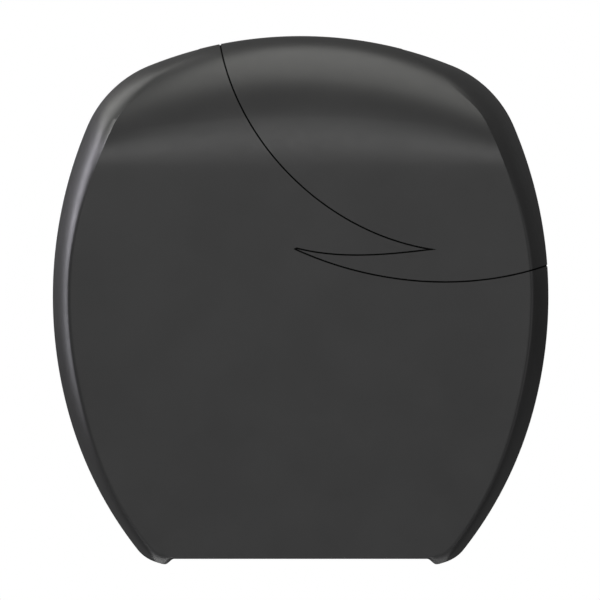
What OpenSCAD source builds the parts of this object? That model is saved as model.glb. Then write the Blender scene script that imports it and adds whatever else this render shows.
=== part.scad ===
// Jumbo toilet roll dispenser for a wall, in millimetres.
// +X is to the right seen from the front, +Y goes into the wall, +Z is up.
// The origin is the point where the roll's axis meets the wall.
// Distances from the wall are positive sizes, so a piece at distance d lies at y = -d.

/* [Cover] */
// Width over the widest part of the cover
body_w = 320; // [312:1:330]
// Height from the feet to the crown
body_h = 340; // [334:1:350]
// Depth from the wall to the front face
body_d = 130; // [127:1:145]
// Height of the roll axis above the feet
axis_h = 172; // [168:1:176]
// Thickness of the cover's wall
wall = 2.8; // [2.4:0.1:3.2]
// Gap between the cover's rear edge and the wall
rim_gap = 2; // [1.5:0.1:2.5]

/* [Cover outline] */
// Radius of the crown
crown_r = 262; // [250:1:275]
// Radius of the shoulders
shoulder_r = 73; // [66:1:80]
// Radius of the sides
side_r = 282; // [270:1:295]
// Radius of the lower sides
lower_r = 249; // [240:1:258]
// Radius of the feet
foot_r = 23; // [20:0.5:26]
// Direction, from straight up, in which the side passes into the lower side
side_turn = 106; // [103:1:109]
// Share of the crown's arc, from its middle outwards, that has no crease
crown_part = 0.656; // [0.6:0.004:0.7]
// Width of the step from a foot to the front wall's lower edge
step_w = 6; // [5:0.5:8]
// Height of that step
step_h = 3.5; // [3:0.5:4.5]

/* [Cover edges] */
// Inset of the crease at the shoulders
shoulder_inset = 15; // [12:0.5:18]
// Inset of the crease at the sides
side_inset = 10; // [8:0.5:12]
// Inset of the crease above the feet
foot_inset = 6; // [4:0.5:7]
// Angle over which the crease leaves the crown
crease_rise = 6.7; // [5:0.1:9]
// Width of the soft strip in front of the crease at the sides
soft_w = 2.5; // [1.5:0.5:3.5]
// Width of that strip at the feet
soft_foot_w = 6.5; // [4:0.5:7]
// Depth of the soft strip
soft_d = 2.5; // [2:0.5:4]
// Distance from the wall at which the sides begin to bulge inwards
straight_d = 50; // [40:1:58]
// Angle through which the bulge turns
bulge_turn = 70; // [60:1:75]
// Share of the crown's height over which the front rolls back to the top
roll_back_part = 0.494; // [0.45:0.002:0.53]
// Depth over which it does so
roll_back_d = 60; // [52:1:64]

/* [Accent panel] */
// Thickness of the inlay
inlay_t = 1.5; // [1.2:0.1:1.6]
// Clearance under the inlay
inlay_gap = 0.1; // [0.05:0.05:0.2]
// Distance from the wall to the inlay's rear edge
panel_rear = 7; // [6:0.5:12]
// Width of the seam beside the inlay
seam_gap = 1; // [0.6:0.1:1.4]
// Radius of the inlay's pegs
peg_r = 2; // [1.5:0.1:2.5]
// Clearance round a peg
peg_gap = 0.2; // [0.1:0.05:0.4]
// Length of a peg behind the cover's front wall
peg_l = 4; // [3:0.5:6]
// Outer radius of a push-on washer
clip_r = 5; // [4:0.5:6]
// Thickness of a push-on washer
clip_t = 1; // [0.8:0.1:1.4]

/* [Back plate] */
// Thickness of the plate
plate_t = 3; // [2.5:0.1:3.5]
// Gap between the plate's rim and the cover's wall
plate_gap = 1.8; // [1.6:0.1:2.4]
// Thickness of the rim
rim_t = 2.2; // [1.8:0.1:2.8]
// Distance from the wall to the rim's front edge
rim_d = 9; // [7:0.5:10]
// Height above the hinge at which the rim starts
rim_up = 48; // [46:1:60]
// Height above the hinge at which the plate widens beyond the feet
wide_up = 24; // [24:1:32]
// Gap between the plate's lower part and the cover's feet
tongue_gap = 1.5; // [1:0.1:1.8]
// Distance from the plate's sides to the lower ends of its rim
rim_cut = 20; // [16:1:24]
// Distance between the wall screws, side to side
screw_dx = 150; // [130:1:160]
// Distance between the wall screws, up and down
screw_dz = 170; // [150:1:180]
// Radius of the wall-screw holes
screw_hole_r = 2.75; // [2.25:0.25:3.25]
// Radius of the raised pad round a wall-screw hole
pad_r = 9; // [8:0.5:11]
// Height of that pad over the plate
pad_h = 2; // [1.5:0.5:3]

/* [Hinge] */
// Distance from the wall to the hinge axis
hinge_d = 18; // [17.5:0.1:20]
// Height of the hinge axis above the feet
hinge_up = 14; // [13.5:0.1:15]
// Radius of the hinge pins
pin_r = 2.5; // [2:0.1:3]
// Running clearance round a pin in its lug
pin_gap = 0.05; // [0.03:0.01:0.08]
// Outer radius of the ears and the lugs
ear_r = 8; // [7:0.1:8.5]
// Thickness of an ear or a lug
ear_t = 7; // [6:0.1:7]
// Gap between an ear and its lug
ear_gap = 6; // [6:0.1:6.5]
// Radius to which the cover's rear corner is cut round the hinge axis
heel_r = 16.8; // [16.4:0.1:17]
// Radius of a pin's head
pin_head_r = 4.2; // [3.5:0.1:5]
// Thickness of a pin's head
pin_head_t = 1.5; // [1:0.1:2]
// Length of a pin past its lug
pin_past = 1.5; // [1:0.1:2]

/* [Spindle] */
// Radius of the post that the hub turns on
post_r = 8; // [7:0.1:9]
// Radius of the post's flange
flange_r = 27; // [25:0.5:30]
// Thickness of the flange
flange_t = 4; // [3:0.5:5]
// Radius of the collar that the rear bush runs against
collar_r = 12; // [11:0.1:13]
// Radius of the circle of flange screws
flange_screw_ring = 19; // [18:0.5:21]
// Radius of the flange screws
flange_screw_r = 1.9; // [1.5:0.1:2.2]
// End play of the hub
end_play = 0.3; // [0.3:0.05:0.5]

/* [Hub] */
// Outer radius of the hub, for roll cores of 45 mm and more
hub_r = 21.5; // [20:0.25:23]
// Length of the tube that carries the roll's core
hub_l = 87; // [82:1:90]
// Thickness of the tube
hub_wall = 3.5; // [3:0.1:4]
// Radius of the brake disc
disc_r = 40; // [37:0.5:45]
// Thickness of the brake disc
disc_t = 3; // [2.5:0.1:4]
// Distance from the wall to the disc's rear face
disc_d = 16; // [15.5:0.1:17]
// Length of a bush
bush_l = 10; // [8:0.5:12]
// Running clearance between a bush and the post
bush_gap = 0.05; // [0.03:0.01:0.08]
// Thickness of the cap
cap_t = 3; // [2.5:0.1:4]
// Amount by which the cap's edge stands back from the tube
cap_step = 1; // [0.5:0.1:1.5]
// Radius of the retaining washer
washer_r = 13; // [11:0.5:14]
// Thickness of the retaining washer
washer_t = 1.5; // [1:0.1:2]

/* [Brake spring] */
// Width of the leaf
leaf_w = 12; // [9:0.5:15]
// Thickness of the leaf
leaf_t = 0.8; // [0.6:0.1:1]
// Gap between the leaf and the disc
leaf_gap = 0.3; // [0.2:0.05:0.5]
// Radius at which the leaf's foot is screwed to the plate
leaf_foot = 52; // [50:0.5:58]

/* [Lock] */
// Distance from the wall to the lock's axis
lock_d = 32; // [30:0.5:34]
// Radius of the housing's threaded body
housing_r = 9; // [8.5:0.1:10]
// Radius of the housing's flange
lock_flange_r = 11.5; // [11:0.1:12.5]
// Thickness of the housing's flange
lock_flange_t = 1.4; // [1.2:0.1:1.8]
// Depth at which the flange lies below the crown
lock_sink = 0.6; // [0.5:0.1:0.8]
// Radius of the barrel
barrel_r = 6; // [5:0.1:7]
// Length of the housing below its flange
housing_l = 20; // [18:0.5:21]
// Width across the nut's flats
nut_w = 24; // [22:0.5:25]
// Thickness of the nut
nut_t = 6; // [4:0.5:7]
// End play between the housing and the cam
cam_play = 0.2; // [0.1:0.05:0.4]
// Length of the cam from the lock's axis
cam_l = 20; // [18:0.5:21]
// Width of the cam
cam_w = 10; // [8:0.5:11]
// Thickness of the cam
cam_t = 2; // [1.5:0.1:3]
// Width of the key slot
key_w = 2; // [1.5:0.1:2.5]
// Length of the key slot
key_l = 8; // [7:0.5:9]

/* [Keeper] */
// Distance from the middle to the keeper's near side
keeper_x = 10; // [9.5:0.5:12]
// Width of the keeper
keeper_w = 14; // [12:0.5:16]
// Thickness of the keeper's strip
keeper_t = 2; // [1.5:0.1:2.5]
// Height of the keeper's lip
keeper_lip = 12; // [11:0.5:13]
// Clearance between the cam and the keeper
keeper_gap = 0.6; // [0.4:0.1:1]
// Height by which the lip covers the cam's edge
lip_over = 3; // [2.5:0.1:3.5]
// Height of the keeper's foot on the plate
keeper_foot = 26; // [24:1:30]

/* [Tear edges] */
// Width of a toothed strip
tear_w = 16; // [14:0.5:18]
// Distance from the hinge axis to the rear end of a toothed strip
tear_rear = 18; // [17:1:26]
// Distance from the cover's front to the front end of a toothed strip
tear_front = 14; // [10:1:22]
// Thickness of a toothed strip
tear_t = 1; // [0.8:0.1:1.4]
// Distance between two teeth
tooth_pitch = 4; // [3:0.5:5]
// Depth of the teeth
tooth_h = 3; // [2:0.5:4]
// Width of the rail under a strip
rail_w = 10; // [8:0.5:11]
// Height of the rail over the foot's underside
rail_h = 9; // [8.5:0.1:9.4]

/* [Hidden] */
$fn = 48;

cover_colour = [0.22, 0.22, 0.225];
plate_colour = [0.16, 0.16, 0.165];
hub_colour = [0.62, 0.63, 0.64];
steel_colour = [0.72, 0.73, 0.74];
bush_colour = [0.9, 0.9, 0.86];

top_z = body_h - axis_h;
foot_z = -axis_h;
hinge_z = foot_z + hinge_up;
roll_z = top_z * (1 - roll_back_part);

// ---- Outline of the cover: tangent arcs from the crown down to the foot ----

// Outward direction in X and Z, an angle from straight up.
function dir(angle) = [sin(angle), cos(angle)];

// The outer meeting point of two circles, seen from between their centres.
function circles_meet(p, p_r, q, q_r) =
  let (gap = norm(q - p),
       along = (p_r * p_r - q_r * q_r + gap * gap) / (2 * gap),
       across = sqrt(p_r * p_r - along * along),
       u = (q - p) / gap)
  p + along * u + across * [u.y, -u.x];

function angle_from_up(v) = atan2(v.x, v.y);
function smooth(a, low, high) =
  let (t = min(1, max(0, (a - low) / (high - low)))) t * t * (3 - 2 * t);

crown_c = [0, top_z - crown_r];
side_c = [body_w / 2 - side_r, 0];
shoulder_c = circles_meet(crown_c, crown_r - shoulder_r, side_c, side_r - shoulder_r);
lower_c = side_c + (side_r - lower_r) * dir(side_turn);
crown_turn = angle_from_up(shoulder_c - crown_c);
crown_edge = crown_part * crown_turn;
shoulder_turn = angle_from_up(shoulder_c - side_c);
foot_turn = acos((foot_z + foot_r - lower_c.y) / (lower_r - foot_r));
foot_c = lower_c + (lower_r - foot_r) * dir(foot_turn);
opening_half = foot_c.x - step_w;

// How far the crease lies inside the outline, and how wide the soft strip in front of it is.
shoulder_end = 62;
side_start = 88;
side_end = 100;
function crease_inset(a) =
  shoulder_inset * (1 - exp(-max(0, a - crown_edge) / crease_rise))
  - (shoulder_inset - side_inset) * smooth(a, shoulder_end, side_start)
  - (side_inset - foot_inset) * smooth(a, side_end, foot_turn)
  - foot_inset * smooth(a, foot_turn, 180);
function soft_width(a) =
  soft_w * smooth(a, shoulder_end - 15, side_start)
  + (soft_foot_w - soft_w) * smooth(a, foot_turn, 180);

// A station is [point on the outline, direction, crease inset, soft strip's width].
function station(centre, radius, a) =
  [centre + radius * dir(a), a, crease_inset(a), soft_width(a)];
function arc_stations(centre, radius, from, to, steps) =
  [for (i = [1:steps]) station(centre, radius, from + (to - from) * i / steps)];

step_steps = 3;
foot_steps = 4;
lower_steps = 6;
side_steps = 12;
shoulder_steps = 8;
crease_steps = 6;

step_stations = [
  for (i = [0:step_steps])
    let (t = i / step_steps)
    [[opening_half + step_w * t, foot_z + step_h * (1 + cos(180 * t)) / 2],
     180, 0, soft_foot_w * t]
];
// Towards the crown the stations crowd together, because the front rolls back steeply there.
crease_stations = [
  for (i = [1:crease_steps])
    let (t = 1 - i / crease_steps)
    station(crown_c, crown_r, crown_edge + (crown_turn - crown_edge) * t * t)
];
stations = concat(
  step_stations,
  arc_stations(foot_c, foot_r, 180, foot_turn, foot_steps),
  arc_stations(lower_c, lower_r, foot_turn, side_turn, lower_steps),
  arc_stations(side_c, side_r, side_turn, shoulder_turn, side_steps),
  arc_stations(shoulder_c, shoulder_r, shoulder_turn, crown_turn, shoulder_steps),
  crease_stations
);
last = len(stations) - 1;

// ---- Skin of the cover at a depth below its outer surface ----

function outline_point(s, skin) = s[0] - skin * dir(s[1]);
function inset_point(s, skin, inset) = s[0] - (skin + inset) * dir(s[1]);
function edge_point(s, skin) = inset_point(s, skin, s[2] + s[3]);

// The front is flat below roll_z, and above it an elliptical arc that ends level with the crown.
function crown_line(x, skin) = crown_c.y + sqrt(pow(crown_r - skin, 2) - x * x);
function roll_share(p, skin) =
  min(1, max(0, (p.y - roll_z) / (crown_line(p.x, skin) - roll_z)));
function front_y(share, skin) =
  skin - body_d + (roll_back_d - skin) * (1 - sqrt(1 - share * share));
function edge_y(s, skin) = front_y(roll_share(edge_point(s, skin), skin), skin);
function is_flat(s, skin) = edge_point(s, skin).y <= roll_z;

// Rows of the side walls: rear edge, end of the straight part, the bulge, the soft strip.
bulge_rows = 4;
edge_row = bulge_rows + 2;
function row_y(s, skin, k, rear) =
  k == 0 ? rear :
  k == edge_row ? edge_y(s, skin) :
  let (a = bulge_turn * (k - 1) / bulge_rows, crease_y = edge_y(s, skin) + soft_d)
  -straight_d + (crease_y + straight_d) * sin(a) / sin(bulge_turn);
function row_inset(s, k) =
  k == 0 ? 0 :
  k == edge_row ? s[2] + s[3] :
  s[2] * (1 - cos(bulge_turn * (k - 1) / bulge_rows)) / (1 - cos(bulge_turn));
function wall_point(s, skin, k, hand, rear) =
  let (p = inset_point(s, skin, row_inset(s, k))) [hand * p.x, row_y(s, skin, k, rear), p.y];

// Columns across the crown and the rolled-back front.
columns = 14;
function column_share(m) = 2 * m / columns - 1;
function crown_point(skin, k, m, rear) =
  let (s = stations[last], x = outline_point(s, skin).x * column_share(m))
  [x, row_y(s, skin, k, rear), crown_line(x, skin)];
function front_point(s, skin, m) =
  let (p = edge_point(s, skin), share = roll_share(p, skin), x = p.x * column_share(m))
  [x, front_y(share, skin),
   share > 0 ? roll_z + share * (crown_line(x, skin) - roll_z) : p.y];

// The front's curved rows start at the highest station whose edge is still on the flat front.
function flat_last(skin) = max([for (j = [0:last]) if (is_flat(stations[j], skin)) j]);

function skin_points(skin, rear) = concat(
  [for (k = [0:edge_row]) each concat(
    [for (j = [0:last]) wall_point(stations[j], skin, k, -1, rear)],
    [for (m = [1:columns - 1]) crown_point(skin, k, m, rear)],
    [for (j = [last:-1:0]) wall_point(stations[j], skin, k, 1, rear)])],
  [for (j = [flat_last(skin):last - 1]) for (m = [1:columns - 1])
    front_point(stations[j], skin, m)]
);

ring = 2 * (last + 1) + columns - 1;
function wall_at(k, i) = k * ring + i;
function front_at(skin, j, m) =
  m == 0 ? wall_at(edge_row, j) :
  m == columns ? wall_at(edge_row, ring - 1 - j) :
  j == last ? wall_at(edge_row, last + m) :
  (edge_row + 1) * ring + (j - flat_last(skin)) * (columns - 1) + m - 1;

function quad(a, b, c, d) = [[a, b, c], [a, c, d]];
// The outer skin's faces; lift adds to each index.
function skin_faces(skin, lift) = concat(
  [for (k = [0:edge_row - 1]) for (i = [0:ring - 2])
    each quad(lift + wall_at(k, i), lift + wall_at(k, i + 1),
              lift + wall_at(k + 1, i + 1), lift + wall_at(k + 1, i))],
  [for (j = [flat_last(skin):last - 1]) for (m = [0:columns - 1])
    each quad(lift + front_at(skin, j, m), lift + front_at(skin, j + 1, m),
              lift + front_at(skin, j + 1, m + 1), lift + front_at(skin, j, m + 1))],
  [concat([for (j = [0:flat_last(skin)]) lift + front_at(skin, j, 0)],
          [for (m = [1:columns - 1]) lift + front_at(skin, flat_last(skin), m)],
          [for (j = [flat_last(skin):-1:0]) lift + front_at(skin, j, columns)])]
);
function turned(face) = [for (i = [len(face) - 1:-1:0]) face[i]];

// The closed layer between two skins: the cover's wall, or a part of its thickness.
module skin_layer(outer, inner, rear = -rim_gap) {
  outer_points = skin_points(outer, rear);
  lift = len(outer_points);
  rear_edge = [for (i = [0:ring - 2])
    each quad(lift + i, lift + i + 1, i + 1, i)];
  left_lip = [for (k = [0:edge_row - 1])
    each quad(wall_at(k + 1, 0), lift + wall_at(k + 1, 0), lift + wall_at(k, 0), wall_at(k, 0))];
  right_lip = [for (k = [0:edge_row - 1])
    each quad(wall_at(k, ring - 1), lift + wall_at(k, ring - 1),
              lift + wall_at(k + 1, ring - 1), wall_at(k + 1, ring - 1))];
  lower_edge = quad(wall_at(edge_row, 0), wall_at(edge_row, ring - 1),
                    lift + wall_at(edge_row, ring - 1), lift + wall_at(edge_row, 0));
  polyhedron(
    points = concat(outer_points, skin_points(inner, rear)),
    faces = concat(skin_faces(outer, 0), [for (f = skin_faces(inner, lift)) turned(f)],
                   rear_edge, left_lip, right_lip, lower_edge)
  );
}

// ---- Seam of the accent panel, in X and Z ----

// A place on the front, in shares of the cover's half width and of the crown's height.
function on_front(x_share, z_share) = [x_share * body_w / 2, z_share * top_z];

// Control points of the seam's three sweeps, from the crown to the right side.
seam_top = on_front(-0.3213, 0.969);
seam_tip = on_front(0.5481, 0.1804);
seam_back = on_front(-0.0169, 0.1821);
seam_side = on_front(0.9881, 0.122);
seam_a = [seam_top, on_front(-0.2463, 0.569), on_front(0.1275, 0.2321), seam_tip];
seam_b = [seam_tip, on_front(0.36, 0.1583), on_front(0.1681, 0.1375), seam_back];
seam_c = [seam_back, on_front(0.2931, 0.0488), on_front(0.6631, 0.0155), seam_side];
seam_steps = 14;

function bezier(c, t) =
  pow(1 - t, 3) * c[0] + 3 * pow(1 - t, 2) * t * c[1] + 3 * (1 - t) * t * t * c[2] + t * t * t * c[3];
function bezier_normal(c, t) =
  let (d = 3 * pow(1 - t, 2) * (c[1] - c[0]) + 6 * (1 - t) * t * (c[2] - c[1]) + 3 * t * t * (c[3] - c[2]))
  [-d.y, d.x] / norm(d);
// A sweep moved sideways, to the left of its own direction if by is positive.
function sweep(c, by) =
  [for (i = [0:seam_steps]) let (t = i / seam_steps) bezier(c, t) + by * bezier_normal(c, t)];

// The panel's region in X and Z, grown by a margin; it runs past the crown and the right side.
beyond = 30;
function panel_region(grow) =
  let (a = sweep(seam_a, -grow), b = sweep(seam_b, -grow), c = sweep(seam_c, -grow),
       blunt = seam_tip.x - 8 * grow)
  concat(
    [[a[0].x, top_z + beyond]],
    [for (p = a) if (grow == 0 || p.x < blunt) p],
    grow == 0 ? [] : [[blunt + grow, seam_tip.y]],
    [for (p = b) if (grow == 0 || p.x < blunt) p],
    [seam_back - [2 * grow, 0]],
    c,
    [[body_w / 2 + beyond, c[seam_steps].y], [body_w / 2 + beyond, top_z + beyond]]
  );
// It stops short of the cover's rear edge, which closes the ends of the seam.
module panel_prism(grow) {
  translate([0, grow - panel_rear, 0]) rotate([90, 0, 0])
    linear_extrude(height = body_d) polygon(panel_region(grow));
}

// ---- Small helpers ----

// A cylinder that stands out from the wall, between two distances from it.
module stud(r, from_d, to_d, r_end = undef) {
  translate([0, -from_d, 0]) rotate([90, 0, 0])
    cylinder(h = to_d - from_d, r1 = r, r2 = r_end == undef ? r : r_end);
}
// A cylinder along X between two places.
module bar(r, from_x, to_x) {
  translate([from_x, 0, 0]) rotate([0, 90, 0]) cylinder(h = to_x - from_x, r = r);
}
module on_hinge() { translate([0, -hinge_d, hinge_z]) children(); }
module on_lock() { translate([0, -lock_d, 0]) children(); }
module both_sides() {
  children();
  mirror([1, 0, 0]) children();
}

lug_x = opening_half + 4;
ear_x = lug_x - ear_gap - ear_t;
flange_d = plate_t + flange_t;
screw_head_h = 2.4;
small_head_h = 1.8;
screw_tip_d = 0.6;
tongue_lap = 12;
drill = 1;

// ---- Fixed to the wall ----

module wall_screw_places() {
  for (x = [-1, 1], z = [-1, 1]) translate([x * screw_dx / 2, 0, z * screw_dz / 2]) children();
}
module flange_screw_places() {
  for (a = [45:90:315])
    translate([flange_screw_ring * cos(a), 0, flange_screw_ring * sin(a)]) children();
}

// The cover's outline at a depth below it, from the right foot round the crown to the left foot.
foot_under = 170;
function plate_outline(skin) =
  let (right = [for (s = stations) if (s[1] < foot_under) outline_point(s, skin)],
       n = len(right),
       crown = [for (m = [columns - 1:-1:1])
         let (x = right[n - 1].x * column_share(m)) [x, crown_line(x, skin)]])
  concat(right, crown, [for (i = [n - 1:-1:0]) [-right[i].x, right[i].y]]);

// Places of the cam and the keeper, worked out from the lock's axis.
lock_top = top_z - lock_sink;
housing_low = lock_top - lock_flange_t - housing_l;
cam_top = housing_low - cam_play;
lip_d = lock_d + cam_w / 2 + keeper_gap;
keeper_z = cam_top - cam_t - keeper_lip + lip_over;
keeper_hole_r = 1.6;
keeper_head_r = 2 * keeper_hole_r;
keeper_hole_gap = 9;
keeper_screw_z = [keeper_z - 2 * keeper_hole_gap, keeper_z - keeper_hole_gap];
brake_screw_r = 1.6;

module plate_shape(skin, low_z) {
  intersection() {
    polygon(plate_outline(skin));
    translate([-body_w, low_z]) square([2 * body_w, 2 * body_h]);
  }
}
module back_plate() {
  skin = wall + plate_gap;
  rim_z = hinge_z + rim_up;
  rim_end = body_w / 2 - skin - rim_t - rim_cut;
  tongue_half = opening_half - tongue_gap;
  tongue_z = foot_z + step_h + tongue_gap;
  color(plate_colour) difference() {
    union() {
      rotate([90, 0, 0]) linear_extrude(height = plate_t)
        plate_shape(skin, hinge_z + wide_up);
      translate([-tongue_half, -plate_t, tongue_z])
        cube([2 * tongue_half, plate_t, hinge_z + wide_up + tongue_lap - tongue_z]);
      rotate([90, 0, 0]) linear_extrude(height = rim_d) difference() {
        plate_shape(skin, rim_z);
        polygon(concat(
          [for (p = plate_outline(skin + rim_t)) if (p.y > rim_z) p],
          [[-rim_end, hinge_z], [rim_end, hinge_z]]));
      }
      wall_screw_places() stud(pad_r, plate_t / 2, plate_t + pad_h);
      both_sides() ear();
    }
    wall_screw_places() stud(screw_hole_r, -drill, plate_t + pad_h + drill);
    flange_screw_places() stud(flange_screw_r, -drill, plate_t + drill);
    for (z = keeper_screw_z) translate([keeper_x + keeper_w / 2, 0, z])
      stud(keeper_hole_r, -drill, plate_t + drill);
    translate([0, 0, -leaf_foot]) stud(brake_screw_r, -drill, plate_t + drill);
  }
}
module ear() {
  difference() {
    union() {
      on_hinge() bar(ear_r, ear_x, ear_x + ear_t);
      translate([ear_x, -hinge_d, hinge_z - ear_r]) cube([ear_t, hinge_d - plate_t / 2, 2 * ear_r]);
    }
    on_hinge() bar(pin_r, ear_x - drill, ear_x + ear_t + drill);
  }
}

module hinge_pin() {
  color(steel_colour) on_hinge() {
    bar(pin_r, ear_x - pin_head_t / 2, lug_x + ear_t + pin_past);
    bar(pin_head_r, ear_x - pin_head_t, ear_x);
  }
}
module hinge_pin_left() { mirror([1, 0, 0]) hinge_pin(); }
module hinge_pin_right() { hinge_pin(); }

module keeper_bracket() {
  color(steel_colour) difference() {
    union() {
      translate([keeper_x, -plate_t - keeper_t, keeper_z - keeper_foot])
        cube([keeper_w, keeper_t, keeper_foot]);
      translate([keeper_x, -lip_d - keeper_t, keeper_z - keeper_t])
        cube([keeper_w, lip_d + keeper_t - plate_t, keeper_t]);
      translate([keeper_x, -lip_d - keeper_t, keeper_z - keeper_t])
        cube([keeper_w, keeper_t, keeper_lip + keeper_t]);
    }
    for (z = keeper_screw_z) translate([keeper_x + keeper_w / 2, 0, z])
      stud(keeper_hole_r, plate_t - drill, plate_t + keeper_t + drill);
  }
}
module keeper_screws() {
  color(steel_colour) for (z = keeper_screw_z) translate([keeper_x + keeper_w / 2, 0, z]) {
    stud(keeper_hole_r, screw_tip_d, plate_t + keeper_t + drill);
    stud(keeper_head_r, plate_t + keeper_t, plate_t + keeper_t + small_head_h);
  }
}

bush_d = disc_d + 1;
front_bush_inset = 16;
hub_front = disc_d + disc_t + hub_l;
front_bush_d = hub_front - front_bush_inset - bush_l;
post_end = front_bush_d + bush_l + end_play;
screw_bore_r = 2;
screw_bore_l = 14;
retaining_head_r = 4.2;
retaining_head_h = 2.8;

module spindle_post() {
  color(steel_colour) difference() {
    union() {
      stud(flange_r, plate_t, flange_d);
      stud(collar_r, flange_d - drill, bush_d - end_play);
      stud(post_r, flange_d, post_end);
    }
    flange_screw_places() stud(flange_screw_r, plate_t - drill, flange_d + drill);
    stud(screw_bore_r, post_end - screw_bore_l, post_end + drill);
  }
}
module spindle_screws() {
  color(steel_colour) flange_screw_places() {
    stud(flange_screw_r, screw_tip_d, flange_d + drill);
    stud(2 * flange_screw_r, flange_d, flange_d + screw_head_h);
  }
}

leaf_front = disc_d - leaf_gap;
leaf_pad = [disc_r - 14, disc_r - 6];
module brake_spring() {
  foot = [leaf_foot + 6, leaf_foot - 6];
  front = leaf_front;
  // The leaf's side view: distance below the roll axis and distance from the wall.
  profile = [
    [foot[0], plate_t], [foot[1] - 0.6, plate_t], [leaf_pad[1], front - leaf_t],
    [leaf_pad[0], front - leaf_t], [leaf_pad[0], front], [leaf_pad[1] + 0.6, front],
    [foot[1], plate_t + leaf_t], [foot[0], plate_t + leaf_t]
  ];
  color(steel_colour) difference() {
    translate([-leaf_w / 2, 0, 0]) rotate([90, 0, 90]) linear_extrude(height = leaf_w)
      polygon([for (p = profile) [-p[1], -p[0]]]);
    translate([0, 0, -leaf_foot]) stud(brake_screw_r, plate_t - drill, plate_t + leaf_t + drill);
  }
}
module brake_screw() {
  color(steel_colour) translate([0, 0, -leaf_foot]) {
    stud(brake_screw_r, screw_tip_d, plate_t + leaf_t + drill);
    stud(2 * brake_screw_r, plate_t + leaf_t, plate_t + leaf_t + small_head_h);
  }
}

module retaining_washer() {
  color(steel_colour) difference() {
    stud(washer_r, post_end, post_end + washer_t);
    stud(screw_bore_r, post_end - drill, post_end + washer_t + drill);
  }
}
module retaining_screw() {
  color(steel_colour) {
    stud(screw_bore_r, post_end - screw_bore_l + 1, post_end + washer_t + drill);
    stud(retaining_head_r, post_end + washer_t, post_end + washer_t + retaining_head_h);
  }
}

// ---- Turning with the roll ----

hub_bore_r = hub_r - hub_wall;
spigot_r = hub_bore_r + hub_wall / 2;
push_gap = 0.05;

module brake_disc() {
  color(plate_colour) difference() {
    stud(disc_r, disc_d, disc_d + disc_t);
    stud(spigot_r + push_gap, disc_d - drill, disc_d + disc_t + drill);
  }
}
module hub_core() {
  color(hub_colour) difference() {
    union() {
      stud(hub_r, disc_d + disc_t, hub_front);
      stud(spigot_r, disc_d, disc_d + disc_t + drill);
    }
    stud(hub_bore_r, disc_d - drill, hub_front + drill);
  }
}
module bush(from_d) {
  color(bush_colour) difference() {
    stud(hub_bore_r, from_d, from_d + bush_l);
    stud(post_r + bush_gap, from_d - drill, from_d + bush_l + drill);
  }
}
module hub_bush_rear() { bush(bush_d); }
module hub_bush_front() { bush(front_bush_d); }
module hub_cap() {
  cap_r = hub_r - cap_step;
  plug_d = hub_front - 2 * cap_t;
  color(hub_colour) difference() {
    union() {
      stud(hub_bore_r - push_gap, plug_d, hub_front);
      stud(cap_r, hub_front, hub_front + cap_t - cap_step);
      stud(cap_r, hub_front + cap_t - cap_step, hub_front + cap_t, cap_r - cap_step);
    }
    stud(hub_bore_r - 0.8 * cap_t, plug_d - drill, hub_front);
  }
}

// ---- Swinging with the cover ----

// Places of the inlay's pegs, in X and Z, on the flat part of the front.
peg_places = [
  on_front(0.1875, 0.375), on_front(0.475, 0.3452), on_front(0.7875, 0.369),
  on_front(0.775, 0.1786), on_front(0.3875, 0.1131)
];
// The rear wall of the recess, below the cover's outer surface.
recess_t = inlay_t + inlay_gap;
recess_d = lock_top - lock_flange_t;
lock_gap = 0.2;
lock_cut = 10;
lock_boss_wall = 3;
boss_bite = 0.3;
lock_boss_r = lock_flange_r + lock_boss_wall;
lock_boss_h = 3.6;
// The boss ends inside the cover's wall, below the floor of the recess.
lock_boss_top = top_z - wall + boss_bite;
rail_x = opening_half + 3.5;
tear_d = [hinge_d + tear_rear, body_d - tear_front];
tear_l = tear_d[1] - tear_d[0];
tear_screw_inset = 14;
tear_screw_d = [tear_d[0] + tear_screw_inset, tear_d[1] - tear_screw_inset];
tear_screw_r = 1.4;
tear_screw_x = rail_x + rail_w / 2;
tear_screw_grip = 3.5;
tear_hole_h = 8;
lip_z = foot_z + 3.2;
rail_z = foot_z + rail_h;
// Height inside the foot's wall, down to which the lugs and the rails' webs reach.
sole_z = foot_z + 0.65 * wall;
web_inset = 1;
web_w = 6;

module cover_shell() {
  color(cover_colour) difference() {
    union() {
      // The shell runs past the rear edge, and rear_trim() cuts it to length.
      difference() {
        skin_layer(0, wall, drill);
        intersection() {
          skin_layer(-drill, recess_t);
          panel_prism(seam_gap);
        }
      }
      both_sides() lug();
      both_sides() translate([rail_x, -tear_d[1], lip_z])
        cube([rail_w, tear_l, rail_z - lip_z]);
      both_sides() translate([rail_x + web_inset, web_inset - tear_d[1], sole_z])
        cube([web_w, tear_l - 2 * web_inset, lip_z + web_inset - sole_z]);
      on_lock() translate([0, 0, recess_d - lock_boss_h])
        cylinder(h = lock_boss_top - recess_d + lock_boss_h, r = lock_boss_r);
    }
    rear_trim();
    heel_cut();
    on_hinge() both_sides() bar(pin_r + pin_gap, lug_x - drill, lug_x + ear_t + drill);
    on_lock() translate([0, 0, recess_d]) cylinder(h = lock_cut, r = lock_flange_r + lock_gap);
    on_lock() translate([0, 0, recess_d - lock_cut])
      cylinder(h = 2 * lock_cut, r = housing_r + lock_gap / 2);
    for (p = peg_places) translate([p.x, 0, p.y])
      stud(peg_r + peg_gap, body_d - wall - drill, body_d);
    both_sides() tear_screw_places() cylinder(h = tear_hole_h, r = tear_screw_r, center = true);
  }
}
module lug() {
  on_hinge() bar(ear_r, lug_x, lug_x + ear_t);
  translate([lug_x, -hinge_d - ear_r, sole_z]) cube([ear_t, 2 * ear_r, hinge_z - sole_z]);
}
module rear_trim() {
  translate([-body_w, -rim_gap, -body_h]) cube([2 * body_w, rim_gap + 3 * drill, 2 * body_h]);
}
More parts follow.
